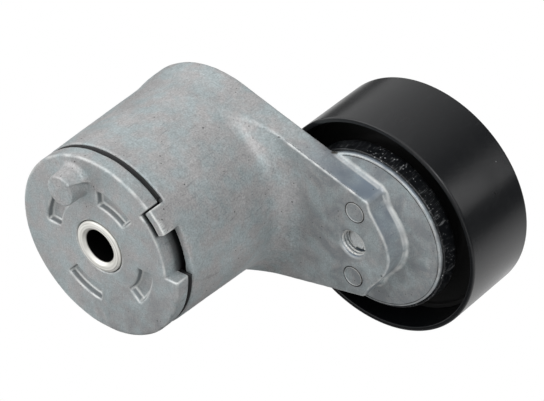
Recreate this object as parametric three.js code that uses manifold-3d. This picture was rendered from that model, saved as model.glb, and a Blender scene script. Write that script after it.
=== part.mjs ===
// Belt tensioner idler: a cast spring drum and arm that swing on a bolted base,
// with a smooth back-side pulley on a ball bearing at the arm's end.
// Millimetres. The pivot axis is +Y, the arm points along +X, +Z is up.
import * as THREE from 'three';
import { mergeVertices } from 'three/addons/utils/BufferGeometryUtils.js';
import Module from 'manifold-3d';

const wasm = await Module();
wasm.setup();

// Driving dimensions. "Front" is the engine side (small Y), "back" is the far side.
const gap = 0.3; // air left between touching pieces
const boltBore = 5.3; // M10 mounting bolt
const sleeveRadius = 8.3;
const sleeveProud = 0.5;
const baseRadius = 29.5;
const rimDepth = 5.0;
const baseWallRadius = 25.1; // inner wall, also the floor of the stop notch
const baseWallThickness = 2.5;
const baseDepth = 20;
const hubFront = 20.5;
const drumFront = 6.5;
const drumFrontRadius = 29.7;
const drumBack = 54.5;
const drumBackRadius = 31.7;
const drumBore = 27.0;
const endWall = 5.0;
const hubRadius = 13.0;
const hubBore = 10.0;
const collarRecess = 18.5;
const armTaper = THREE.MathUtils.degToRad(14.6);
const armFront = 46.5; // face of the lug
const armFillet = 7.0;
const lugCornerX = 59.6;
const shoulder = { x: 61.2, z: 12.9 };
const noseRadius = 12.8;
const noseAngle = THREE.MathUtils.degToRad(52);
const pulleyX = 54.9;
const discRadius = 25.1;
const discThickness = 3.5;
const bossRadius = 12.0;
const threadRadius = 4.2;
const threadMouth = 5.0; // countersink
const stopTab = { from: 33, to: 49, inner: 27.1, outer: 29.2, front: 0.4 };
const stopNotch = { from: 3.3, to: 50 };
const pulleyRadius = 35;
const pulleyFront = 57;
const pulleyWidth = 26;
const pulleyWall = 1.5;
const pulleyEdge = 0.4;
const bearing = { bore: 8.5, outer: 20, width: 12, pitch: 14.25, ball: 3.375, balls: 9 };
const pocket = { inner: 14.6, outer: 19.9, span: 40, depth: 2.2, centres: [70, 160, 250, 339] };
const fine = 64; // facets round the large pieces
const coarse = 32; // facets round the small ones
const peg = { x: -8.0, z: 19.5, radius: 4.6, height: 6.3, root: 2.4 };
const capRadius = 13.3;
const washer = { front: 0.3, back: 1.3, radius: 11.8 };

const pulleyMiddle = pulleyFront + pulleyWidth / 2;
const bearingFront = pulleyMiddle - bearing.width / 2;
const bearingBack = pulleyMiddle + bearing.width / 2;

const castMetal = new THREE.MeshStandardMaterial({ color: 0xa9adae, roughness: 0.5, metalness: 0.8 });
const brightSteel = new THREE.MeshStandardMaterial({ color: 0xd0d0cd, roughness: 0.25, metalness: 1 });
const springSteel = new THREE.MeshStandardMaterial({ color: 0x4b4d52, roughness: 0.45, metalness: 1 });
const blackSteel = new THREE.MeshStandardMaterial({ color: 0x17181a, roughness: 0.3, metalness: 0.4 });
const blackPlastic = new THREE.MeshStandardMaterial({ color: 0x151515, roughness: 0.6, metalness: 0 });
const blackRubber = new THREE.MeshStandardMaterial({ color: 0x101010, roughness: 0.8, metalness: 0 });
const palePlastic = new THREE.MeshStandardMaterial({ color: 0xc9c2a8, roughness: 0.5, metalness: 0 });

const tensioner = new THREE.Group();

function addPart(name, geometry, material, x = 0) {
  const mesh = new THREE.Mesh(geometry, material);
  mesh.name = name;
  mesh.position.x = x;
  tensioner.add(mesh);
}

// A closed section of [radius, y] corners turned about the Y axis.
function turned(corners, segments = coarse) {
  const section = corners.map(([radius, y]) => new THREE.Vector2(radius, y));
  if (THREE.ShapeUtils.area(section) < 0) section.reverse();
  return new THREE.LatheGeometry([...section, section[0].clone()], segments);
}

function ring(inner, outer, front, back, segments = coarse) {
  return turned([[inner, front], [outer, front], [outer, back], [inner, back]], segments);
}

// A flat outline drawn in X and Z, made solid between two places along Y.
function slab(outline, front, back, curveSegments = 10) {
  const block = new THREE.ExtrudeGeometry(outline, {
    depth: back - front, bevelEnabled: false, curveSegments,
  });
  return block.rotateX(Math.PI / 2).translate(0, back, 0);
}

// Part of a ring between two angles in degrees, counted from +X towards +Z.
function arcBand(inner, outer, fromDegrees, toDegrees) {
  const from = THREE.MathUtils.degToRad(fromDegrees);
  const to = THREE.MathUtils.degToRad(toDegrees);
  const band = new THREE.Shape();
  band.absarc(0, 0, outer, from, to, false);
  band.absarc(0, 0, inner, to, from, true);
  return band;
}

function disc(radius, x = 0, z = 0) {
  return new THREE.Shape().absarc(x, z, radius, 0, 2 * Math.PI, false);
}

// From a three.js geometry to a solid that can be joined and cut.
function solid(geometry) {
  const bare = geometry.clone();
  bare.deleteAttribute('normal');
  bare.deleteAttribute('uv');
  const merged = mergeVertices(bare, 1e-4);
  const corners = Array.from(merged.index.array);
  const kept = [];
  for (let i = 0; i < corners.length; i += 3) {
    const [a, b, c] = corners.slice(i, i + 3);
    if (a !== b && b !== c && c !== a) kept.push(a, b, c);
  }
  return new wasm.Manifold(new wasm.Mesh({
    numProp: 3,
    vertProperties: new Float32Array(merged.attributes.position.array),
    triVerts: new Uint32Array(kept),
  }));
}

function geometryOf(shape) {
  const mesh = shape.getMesh();
  const geometry = new THREE.BufferGeometry();
  geometry.setAttribute('position', new THREE.BufferAttribute(mesh.vertProperties, 3));
  geometry.setIndex(new THREE.BufferAttribute(mesh.triVerts, 1));
  geometry.computeVertexNormals();
  return geometry;
}

// Corner points along an arc in a turned section.
function sectionArc(centreRadius, centreY, radius, fromDegrees, toDegrees, steps) {
  return Array.from({ length: steps + 1 }, (_, i) => {
    const angle = THREE.MathUtils.degToRad(fromDegrees + ((toDegrees - fromDegrees) * i) / steps);
    return [centreRadius + radius * Math.cos(angle), centreY + radius * Math.sin(angle)];
  });
}

// Base: a disc with a hub round the sleeve and a wall that centres the spring.
function basePlate() {
  const wallInner = baseWallRadius - baseWallThickness;
  const hubOuter = 12.5;
  const floor = rimDepth + 0.5;
  const bore = sleeveRadius + gap;
  let plate = solid(turned([
    [bore, 0], [baseRadius - 1.2, 0], ...sectionArc(baseRadius - 1.2, 1.2, 1.2, -60, 0, 2),
    [baseRadius, rimDepth], [baseWallRadius, rimDepth], [baseWallRadius, baseDepth],
    [wallInner, baseDepth], [wallInner, floor], [hubOuter, floor], [hubOuter, baseDepth - 1],
    [bore, baseDepth - 1],
  ], fine));
  const notch = arcBand(baseWallRadius, baseRadius + 2, stopNotch.from, stopNotch.to);
  plate = plate.subtract(solid(slab(notch, -1, rimDepth + 0.2)));
  for (const centre of pocket.centres) {
    const band = arcBand(pocket.inner, pocket.outer, centre - pocket.span / 2, centre + pocket.span / 2);
    plate = plate.subtract(solid(slab(band, -1, pocket.depth)));
  }
  const locator = turned([
    [0, -peg.height], [peg.radius - 0.6, -peg.height], [peg.radius, 0.6 - peg.height],
    ...sectionArc(peg.radius + peg.root, -peg.root, peg.root, 180, 90, 3), [0, 1],
  ], coarse);
  locator.translate(peg.x, 0, peg.z);
  return geometryOf(plate.add(solid(locator)));
}

// Steel sleeve that takes the mounting bolt, chamfered at both mouths.
function pivotSleeve() {
  const back = drumBack + 3.6;
  const chamfer = 0.7;
  return turned([
    [boltBore, chamfer - sleeveProud], [boltBore + chamfer, -sleeveProud],
    [sleeveRadius - 0.8, -sleeveProud], [sleeveRadius, 0.3 - sleeveProud], [sleeveRadius, rimDepth],
    [sleeveRadius - gap, rimDepth], [sleeveRadius - gap, back], [boltBore + chamfer, back],
    [boltBore, back - chamfer],
  ]);
}

function sealRing() {
  const seal = ring(baseWallRadius + gap, baseRadius - 0.6, rimDepth + gap, drumFront - gap, fine);
  const opening = arcBand(baseWallRadius - 1, baseRadius + 2, stopNotch.from - 1, stopNotch.to + 1);
  return geometryOf(solid(seal).subtract(solid(slab(opening, 0, drumFront + 1))));
}

class Helix extends THREE.Curve {
  constructor(radius, front, back, turns) {
    super();
    Object.assign(this, { radius, front, back, turns });
  }

  getPoint(t) {
    const angle = 2 * Math.PI * this.turns * t;
    const y = this.front + (this.back - this.front) * t;
    return new THREE.Vector3(this.radius * Math.cos(angle), y, this.radius * Math.sin(angle));
  }
}

function torsionSpring() {
  const wire = 2.4;
  const radius = 18.2;
  const front = rimDepth + 0.5 + gap + wire;
  const back = drumBack - endWall - gap - wire;
  const turns = 5.25;
  return new THREE.ExtrudeGeometry(disc(wire), {
    extrudePath: new Helix(radius, front, back, turns), steps: 84, curveSegments: 4,
  });
}

// The edge of the plate that joins drum and lug, seen along the pivot axis.
function armOutline() {
  const flat = (x) => (drumBackRadius - x * Math.sin(armTaper)) / Math.cos(armTaper);
  const tangentX = drumBackRadius * Math.sin(armTaper);
  const outline = new THREE.Shape();
  outline.moveTo(tangentX, flat(tangentX));
  outline.lineTo(lugCornerX, flat(lugCornerX));
  outline.lineTo(shoulder.x, shoulder.z);
  outline.absarc(pulleyX, 0, noseRadius, noseAngle, -noseAngle, true);
  outline.lineTo(shoulder.x, -shoulder.z);
  outline.lineTo(lugCornerX, -flat(lugCornerX));
  outline.lineTo(tangentX, -flat(tangentX));
  return outline;
}

// Drum, arm, lug, round boss disc and stop tab in one casting.
function armCasting() {
  const overlap = 1; // how far joined solids run into each other
  const core = drumBore - overlap;
  const drum = solid(turned([
    [core, drumFront], [drumFrontRadius - 0.4, drumFront], [drumFrontRadius, drumFront + 0.4],
    [30.9, 44], [31.5, 49], [drumBackRadius, drumBack - 1.2], [drumBackRadius - 0.8, drumBack],
    [core, drumBack],
  ], fine));
  const filletCentre = drumBackRadius - 0.5 + armFillet;
  const fillet = solid(turned([
    [core, armFront - armFillet - overlap],
    ...sectionArc(filletCentre, armFront - armFillet, armFillet, 180, 90, 6),
    [filletCentre, armFront + overlap], [core, armFront + overlap],
  ], fine));
  const outline = armOutline();
  const plate = solid(slab(outline, armFront, drumBack));
  const filletPart = fillet.intersect(solid(slab(outline, drumFront, armFront + overlap)));
  const discBack = drumBack + discThickness;
  const boss = solid(turned([
    [0, armFront + overlap], [bossRadius - overlap, armFront + overlap], [bossRadius - overlap, drumBack],
    [discRadius - 0.5, drumBack], [discRadius, drumBack + 0.5], [discRadius, discBack],
    [bossRadius, discBack], [bossRadius, bearingFront - gap], [0, bearingFront - gap],
  ], fine).translate(pulleyX, 0, 0));
  const discRoot = solid(slab(disc(discRadius - overlap, pulleyX), armFront, drumBack + overlap));
  const root = solid(slab(outline, armFront, drumBack + overlap)).intersect(discRoot);
  const tab = arcBand(stopTab.inner, stopTab.outer, stopTab.from, stopTab.to);
  const tabSolid = solid(slab(tab, stopTab.front, drumFront + 2, 8));
  const filler = solid(ring(hubBore - overlap, drumBore, drumBack - endWall, drumBack, fine));
  const cavity = solid(turned([
    [0, -overlap], [drumBore, -overlap], [drumBore, drumBack - endWall],
    [hubRadius, drumBack - endWall], [hubRadius, hubFront], [hubBore, hubFront],
    [hubBore, drumBack + overlap], [0, drumBack + overlap],
  ], fine));
  const hub = solid(ring(hubBore - overlap, hubRadius, hubFront, drumBack - overlap));
  const recess = solid(slab(disc(collarRecess), drumBack - 1, drumBack + overlap));
  const thread = solid(turned([
    [0, armFront - overlap], [threadMouth, armFront - overlap], [threadMouth, armFront],
    [threadRadius, armFront + 0.8], [threadRadius, bearingBack],
    [0, bearingBack],
  ], coarse).translate(pulleyX, 0, 0));
  const casting = drum.add(filler).add(hub).add(plate).add(filletPart).add(root).add(boss).add(tabSolid);
  return geometryOf(casting.subtract(cavity).subtract(recess).subtract(thread));
}

function dustShield() {
  const inner = discRadius + gap;
  const webFront = drumBack + discThickness + gap;
  return turned([
    [inner, drumBack + 0.9], [inner + 0.6, drumBack + 0.9], [inner + 1.1, webFront + 1.6],
    [inner + 0.5, webFront + 2.3], [bossRadius + gap, webFront + 2.3], [bossRadius + gap, webFront + 1.2],
    [inner, webFront + 1.2],
  ], fine);
}

// Drawn tube that the belt's smooth back runs on.
function pulleyRim() {
  const back = pulleyFront + pulleyWidth;
  const inner = pulleyRadius - pulleyWall;
  return turned([
    [inner, pulleyFront], [pulleyRadius - pulleyEdge, pulleyFront],
    [pulleyRadius, pulleyFront + pulleyEdge], [pulleyRadius, back - pulleyEdge],
    [pulleyRadius - pulleyEdge, back], [inner, back],
  ], fine);
}

// Pressed disc inside the rim, with the collar that grips the bearing.
function pulleyWeb() {
  const outer = pulleyRadius - pulleyWall - gap;
  const gripInner = bearing.outer + gap;
  const gripOuter = gripInner + pulleyWall;
  const front = pulleyMiddle - pulleyWall / 2;
  const back = pulleyMiddle + pulleyWall / 2;
  return turned([
    [outer, front], [outer, back], [gripOuter, back], [gripOuter, bearingBack], [gripInner, bearingBack],
    [gripInner, bearingFront], [gripOuter, bearingFront], [gripOuter, front],
  ], fine);
}

function raceAngle(faceRadius) {
  const grooveRadius = bearing.ball + gap;
  return THREE.MathUtils.radToDeg(Math.acos(Math.abs(faceRadius - bearing.pitch) / grooveRadius));
}

function bearingInnerRing() {
  const face = 11.9;
  const half = raceAngle(face);
  const groove = sectionArc(bearing.pitch, pulleyMiddle, bearing.ball + gap, 180 + half, 180 - half, 4);
  return turned([
    [bearing.bore, bearingFront], [face, bearingFront], ...groove, [face, bearingBack],
    [bearing.bore, bearingBack],
  ]);
}

function bearingOuterRing() {
  const face = 16.6;
  const half = raceAngle(face);
  const groove = sectionArc(bearing.pitch, pulleyMiddle, bearing.ball + gap, -half, half, 4);
  return turned([
    [face, bearingFront], ...groove, [face, bearingBack], [bearing.outer, bearingBack],
    [bearing.outer, bearingFront],
  ]);
}

function ballPlaces() {
  return Array.from({ length: bearing.balls }, (_, i) => {
    const angle = (2 * Math.PI * i) / bearing.balls;
    return [bearing.pitch * Math.cos(angle), pulleyMiddle, bearing.pitch * Math.sin(angle)];
  });
}

// Crown cage: a thin back ring with fingers between the balls.
function bearingCage() {
  let cage = solid(ring(13.2, 15.3, pulleyMiddle - 1, pulleyMiddle + 4.4));
  for (const place of ballPlaces()) {
    const room = new THREE.SphereGeometry(bearing.ball + gap, 12, 8).translate(...place);
    cage = cage.subtract(solid(room));
  }
  return geometryOf(cage);
}

function bearingSeal(front) {
  return ring(12.2, 16.3, front, front + 0.7);
}

function boltWasher() {
  return ring(threadRadius, washer.radius, bearingBack + washer.front, bearingBack + washer.back);
}

// Flange bolt: threaded into the lug from the back, hex head behind the bearing.
function pulleyBolt() {
  const shank = threadRadius - gap;
  const flangeFront = bearingBack + washer.back + gap;
  const flangeBack = flangeFront + 1.2;
  const tip = armFront + 3.2;
  const hexFlats = 6.5;
  const headBack = flangeBack + 3.4;
  const body = solid(turned([
    [0, tip], [shank - 0.7, tip], [shank, tip + 0.7], [shank, flangeFront], [8.2, flangeFront],
    [8.2, flangeBack], [0, flangeBack],
  ], coarse));
  const hexagon = new THREE.CylinderGeometry(hexFlats / Math.cos(Math.PI / 6),
    hexFlats / Math.cos(Math.PI / 6), headBack - flangeBack + 0.5, 6);
  hexagon.translate(0, (headBack + flangeBack - 0.5) / 2, 0);
  return geometryOf(body.add(solid(hexagon)));
}

function dustCap() {
  const top = pulleyFront + pulleyWidth + 0.6;
  const inner = capRadius - 1.2;
  return turned([
    [0, top - 1.1], [inner, top - 1.1], [inner, bearingBack + gap], [capRadius, bearingBack + gap],
    [capRadius, top - 1], [capRadius - 1.1, top], [0, top],
  ]);
}

// Base body
addPart('base_plate', basePlate(), castMetal);
addPart('pivot_sleeve', pivotSleeve(), brightSteel);
addPart('seal_ring', sealRing(), blackRubber);
addPart('torsion_spring', torsionSpring(), springSteel);
addPart('damper_ring', ring(baseWallRadius + gap, drumBore - gap, rimDepth + 6, baseDepth - 1),
  blackPlastic);
addPart('rear_washer', ring(sleeveRadius, 16.5, drumBack - 0.7, drumBack + 0.4), palePlastic);
addPart('retaining_collar', ring(sleeveRadius, 17.5, drumBack + 0.7, drumBack + 2.9), brightSteel);

// Arm body
addPart('arm_casting', armCasting(), castMetal);
addPart('pivot_bushing', ring(sleeveRadius, hubBore - gap, hubFront, drumBack - 1.3), palePlastic);
addPart('dust_shield', dustShield(), blackSteel, pulleyX);
addPart('bearing_spacer', ring(threadRadius, bearing.bore - gap, bearingFront, bearingBack),
  brightSteel, pulleyX);
addPart('bearing_inner_ring', bearingInnerRing(), brightSteel, pulleyX);
addPart('bolt_washer', boltWasher(), brightSteel, pulleyX);
addPart('pulley_bolt', pulleyBolt(), brightSteel, pulleyX);
addPart('dust_cap', dustCap(), blackPlastic, pulleyX);

// Pulley body
addPart('pulley_rim', pulleyRim(), blackSteel, pulleyX);
addPart('pulley_web', pulleyWeb(), blackSteel, pulleyX);
addPart('bearing_outer_ring', bearingOuterRing(), brightSteel, pulleyX);
addPart('front_bearing_seal', bearingSeal(bearingFront + 0.5), blackRubber, pulleyX);
addPart('rear_bearing_seal', bearingSeal(bearingBack - 1.2), blackRubber, pulleyX);

// Rolling set
addPart('bearing_cage', bearingCage(), palePlastic, pulleyX);
ballPlaces().forEach((place, i) => {
  const ball = new THREE.SphereGeometry(bearing.ball, 12, 7).translate(...place);
  addPart(`bearing_ball_${i + 1}`, ball, brightSteel, pulleyX);
});

export default tensioner;
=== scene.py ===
import math
import bmesh
import bpy
import numpy as np
from mathutils import Matrix, Vector


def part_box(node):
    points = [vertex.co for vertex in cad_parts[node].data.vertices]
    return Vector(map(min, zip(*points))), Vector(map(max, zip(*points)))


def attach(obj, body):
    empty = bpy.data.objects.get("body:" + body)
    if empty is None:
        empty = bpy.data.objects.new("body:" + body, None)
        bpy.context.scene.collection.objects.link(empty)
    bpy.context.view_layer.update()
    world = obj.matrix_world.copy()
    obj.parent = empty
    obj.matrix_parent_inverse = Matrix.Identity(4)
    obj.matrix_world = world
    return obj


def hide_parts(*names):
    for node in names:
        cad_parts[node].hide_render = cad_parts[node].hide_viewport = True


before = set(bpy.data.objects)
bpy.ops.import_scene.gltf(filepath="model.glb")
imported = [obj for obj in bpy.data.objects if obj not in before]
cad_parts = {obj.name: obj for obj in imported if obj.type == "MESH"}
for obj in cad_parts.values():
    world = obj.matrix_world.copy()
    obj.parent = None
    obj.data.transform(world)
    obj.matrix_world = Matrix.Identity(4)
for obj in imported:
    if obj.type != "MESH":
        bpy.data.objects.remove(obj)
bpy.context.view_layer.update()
mm = 0.001
print("frame loaded with", len(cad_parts), "nodes")


def boxOf(node):
    low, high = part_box(node)
    return np.array(low) / mm, np.array(high) / mm


# Shared places in millimetres: the pivot axis is Y through the origin, the arm points along X.
baseLow, baseHigh = boxOf("base_plate")
rimLow, rimHigh = boxOf("pulley_rim")
armLow, armHigh = boxOf("arm_casting")
sleeveLow, sleeveHigh = boxOf("pivot_sleeve")
baseRadius = baseHigh[0]
pulleyX = (rimLow[0] + rimHigh[0]) / 2
pulleyRadius = (rimHigh[0] - rimLow[0]) / 2
pulleyFront, pulleyBack = rimLow[1], rimHigh[1]
pulleyMiddle = (pulleyFront + pulleyBack) / 2
drumRadius = -armLow[0]


# ---- camera, lights and floor

view = {"azimuth": 39.38, "elevation": 38.04, "distance": 726.9, "lens": 169.4, "right": 49.1, "up": 13.1,
        "clipStart": 0.01, "clipEnd": 50}


def makeCamera():
    a, e = math.radians(view["azimuth"]), math.radians(view["elevation"])
    back = Vector((math.sin(a) * math.cos(e), -math.cos(a) * math.cos(e), math.sin(e)))
    right = Vector((math.cos(a), math.sin(a), 0))
    up = back.cross(right)
    camera = bpy.data.objects.new("camera", bpy.data.cameras.new("camera"))
    bpy.context.scene.collection.objects.link(camera)
    turn = Matrix((right, up, back)).transposed().to_4x4()
    place = (right * view["right"] + up * view["up"] + back * view["distance"]) * mm
    camera.matrix_world = Matrix.Translation(place) @ turn
    camera.data.lens = view["lens"]
    camera.data.clip_start, camera.data.clip_end = view["clipStart"], view["clipEnd"]
    bpy.context.scene.camera = camera


def colour(hexText):
    channels = [int(hexText[i:i + 2], 16) / 255 for i in (1, 3, 5)]
    return tuple(c / 12.92 if c < 0.04045 else ((c + 0.055) / 1.055) ** 2.4 for c in channels) + (1,)


def addNode(tree, kind, inputs=None, **settings):
    node = tree.nodes.new(kind)
    for key, value in settings.items():
        setattr(node, key, value)
    for key, value in (inputs or {}).items():
        if isinstance(value, bpy.types.NodeSocket):
            tree.links.new(value, node.inputs[key])
        else:
            node.inputs[key].default_value = value
    return node


def spread(tree, value, low, high, to=(0.0, 1.0)):
    # Stretches low to high onto another range, and holds its ends.
    return addNode(tree, "ShaderNodeMapRange", {0: value, 1: low, 2: high, 3: to[0], 4: to[1]}).outputs[0]


def times(tree, a, b):
    return addNode(tree, "ShaderNodeMath", {0: a, 1: b}, operation="MULTIPLY").outputs[0]


def vectorNode(tree, operation, inputs):
    return addNode(tree, "ShaderNodeVectorMath", inputs, operation=operation).outputs


def whiteToCamera(tree, level):
    # What the camera sees directly is plain white, and only the light on the object varies.
    eye = addNode(tree, "ShaderNodeLightPath").outputs["Is Camera Ray"]
    return addNode(tree, "ShaderNodeMix", {0: eye, 2: level, 3: 1.0}).outputs[0]


# Softboxes by direction from the object. The room is light towards its front left and dim behind. The floor
# glows, with a painted shadow: dim under the object, light round it and dim again far away, as lit paper
# looks.
softboxes = {
    "keyLight": {"towards": (-0.60, -0.66, 0.45), "away": 750, "size": (480, 480), "power": 1.0},
    "rightLight": {"towards": (0.84, -0.18, 0.54), "away": 800, "size": (160, 320), "power": 0.9},
    "highRightLight": {"towards": (0.60, -0.20, 0.77), "away": 800, "size": (240, 240), "power": 1.4},
    "bandLight": {"towards": (0.66, 0.61, 0.43), "away": 900, "size": (80, 600), "power": 0.32},
}
room = {"towards": (-0.62, -0.55, 0.56), "from": -0.3, "to": 0.7, "dim": 0.15, "light": 1.20}
paper = {"height": -0.07, "reach": 20, "centre": (0.03, -0.01, -0.07), "inner": 0.02, "outer": 0.145,
         "under": 0.04, "away": 0.90, "fadeFrom": 0.2, "fadeTo": 0.42, "faded": 0.15}


def makeStudio():
    centre = Vector((pulleyX / 2, pulleyMiddle / 2, 0)) * mm
    for name, box in softboxes.items():
        data = bpy.data.lights.new(name, "AREA")
        data.shape = "RECTANGLE"
        data.size, data.size_y = box["size"][0] * mm, box["size"][1] * mm
        data.energy = box["power"]
        light = bpy.data.objects.new(name, data)
        light.location = centre + Vector(box["towards"]).normalized() * box["away"] * mm
        light.rotation_mode = "QUATERNION"
        light.rotation_quaternion = (centre - light.location).to_track_quat("-Z", "Y")
        light.visible_camera = False
        bpy.context.scene.collection.objects.link(light)
    world = bpy.data.worlds.new("studio")
    world.use_nodes = True
    tree = world.node_tree
    tree.nodes.clear()
    coords = addNode(tree, "ShaderNodeTexCoord").outputs["Generated"]
    along = vectorNode(tree, "DOT_PRODUCT", {0: coords, 1: room["towards"]})["Value"]
    level = whiteToCamera(tree, spread(tree, along, room["from"], room["to"], (room["dim"], room["light"])))
    shade = addNode(tree, "ShaderNodeBackground", {"Color": colour("#ffffff"), "Strength": level})
    addNode(tree, "ShaderNodeOutputWorld", {0: shade.outputs[0]})
    bpy.context.scene.world = world
    makeFloor()
    bpy.context.scene.view_settings.view_transform = "Standard"


def makeFloor():
    mesh = bpy.data.meshes.new("floor")
    corners = [(x * paper["reach"], y * paper["reach"], paper["height"]) for x, y in
               ((-1, -1), (1, -1), (1, 1), (-1, 1))]
    mesh.from_pydata(corners, [], [(0, 1, 2, 3)])
    floor = bpy.data.objects.new("floor", mesh)
    bpy.context.scene.collection.objects.link(floor)
    material = bpy.data.materials.new("white paper sweep")
    material.use_nodes = True
    tree = material.node_tree
    tree.nodes.clear()
    place = addNode(tree, "ShaderNodeTexCoord").outputs["Object"]
    away = vectorNode(tree, "DISTANCE", {0: place, 1: paper["centre"]})["Value"]
    # Painted shadow: the glow is dim near the object and bright round it.
    glow = spread(tree, away, paper["inner"], paper["outer"], (paper["under"], paper["away"]))
    fade = spread(tree, away, paper["fadeFrom"], paper["fadeTo"], (1.0, paper["faded"]))
    level = whiteToCamera(tree, times(tree, glow, fade))
    lit = addNode(tree, "ShaderNodeEmission", {"Color": colour("#ffffff"), "Strength": level})
    addNode(tree, "ShaderNodeOutputMaterial", {0: lit.outputs[0]})
    mesh.materials.append(material)


makeCamera()
makeStudio()
print("camera, lights and floor are in place")


# ---- materials

def startMaterial(name):
    material = bpy.data.materials.new(name)
    material.use_nodes = True
    tree = material.node_tree
    tree.nodes.clear()
    shader = addNode(tree, "ShaderNodeBsdfPrincipled")
    addNode(tree, "ShaderNodeOutputMaterial", {0: shader.outputs[0]})
    place = addNode(tree, "ShaderNodeTexCoord").outputs["Object"]
    return material, tree, shader, place


def coat(tree, shader, hue, roughness, normal):
    tree.links.new(hue, shader.inputs["Base Color"])
    tree.links.new(roughness, shader.inputs["Roughness"])
    tree.links.new(normal, shader.inputs["Normal"])


def perMetre(sizeInMm):
    return 1 / (sizeInMm * mm)


def attribute(tree, name):
    return addNode(tree, "ShaderNodeAttribute", attribute_name=name).outputs["Fac"]


def noise(tree, place, scale, detail=2.0, distortion=0.0):
    return addNode(tree, "ShaderNodeTexNoise", {"Vector": place, "Scale": scale, "Detail": detail,
                                                "Distortion": distortion}).outputs


def cells(tree, place, sizeInMm):
    # Distance to the middle of the nearest cell.
    return addNode(tree, "ShaderNodeTexVoronoi", {"Vector": place, "Scale": perMetre(sizeInMm)}).outputs[0]


def under(tree, value, limit):
    return addNode(tree, "ShaderNodeMath", {0: value, 1: limit}, operation="LESS_THAN").outputs[0]


def blend(tree, mask, below, above):
    return addNode(tree, "ShaderNodeMix", {0: mask, 6: below, 7: above}, data_type="RGBA").outputs[2]


def toned(tree, hue, level):
    return vectorNode(tree, "SCALE", {0: hue, "Scale": level})[0]


def mapped(tree, place, shift=(0, 0, 0), turn=(0, 0, 0), scale=(1, 1, 1)):
    return addNode(tree, "ShaderNodeMapping", {"Vector": place, "Location": shift, "Rotation": turn,
                                               "Scale": scale}).outputs[0]


def bumped(tree, height, strength, depth, over=None):
    inputs = {"Height": height, "Strength": strength, "Distance": depth * mm}
    if over is not None:
        inputs["Normal"] = over
    return addNode(tree, "ShaderNodeBump", inputs).outputs[0]


# Die-cast aluminium, as cast: pale cool grey with faint warm patches, fine grit, dark pores and light
# scratches, edges rubbed bright with painted highlights, painted shade in hollows and gaps, and a painted
# dark reflection on upward walls.
# Drawn grit is coarser than real. Sizes are in mm.
castLook = {
    "cool": "#abb4b6", "warm": "#b3b2b2", "rubbedAndHighlight": "#e4e6e4", "paintedHollowShade": "#7d8285", "pore": "#3a3c3d",
    "drawn": "#828d99", "paintedGapShade": "#1d1e20", "darkening": "#838a8e", "roughness": 0.5, "metallic": 0.45,
    "tide": 16, "patch": 6, "cloud": 1.7, "grit": 0.5, "poreSpacing": 1.8, "poreGroups": 6, "streak": 6,
}
# Dark lines and spots: start, end, width in mm, colour.
castMarks = [
    ((28.3, 45.6, 25.9), (28.5, 46.5, 25.4), 0.22, "#2b2b2b"),
    ((28.5, 46.5, 25.4), (27.6, 46.5, 25.0), 0.28, "#1c1c1c"),
    ((28.9, 46.6, 25.4), (30.2, 47.6, 25.3), 0.20, "#3a3a3a"),
    ((30, 47.0, 24.9), (59, 47.0, 17.4), 0.20, "#5b6064"),
    ((41.6, 54.1, 21.9), (42.4, 54.4, 21.7), 0.85, "#3d3729"),
    # The next two marks are painted shade: the lug's lower side wall in shadow, as a dark spot and a dark
    # line along its edge.
    ((65.4, 46.4, -6.1), (65.6, 46.6, -6.3), 0.40, "#2a2b2c"),
    ((60.5, 46.6, -17.2), (64.5, 46.8, -9.5), 0.22, "#4a4e52"),
]
markStrength, markWander = 0.85, 0.9


def lineMask(tree, place, start, end, width):
    # Strong on a straight line of the given width, fading to nothing beside it.
    start, along = Vector(start) * mm, (Vector(end) - Vector(start)) * mm
    offset = vectorNode(tree, "SUBTRACT", {0: place, 1: start})[0]
    reach = vectorNode(tree, "DOT_PRODUCT", {0: offset, 1: along / along.length_squared})["Value"]
    share = addNode(tree, "ShaderNodeClamp", {0: reach}).outputs[0]
    foot = vectorNode(tree, "SCALE", {0: along, "Scale": share})[0]
    away = vectorNode(tree, "DISTANCE", {0: offset, 1: foot})["Value"]
    return spread(tree, away, width * 0.4 * mm, width * mm, (markStrength, 0.0))


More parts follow.
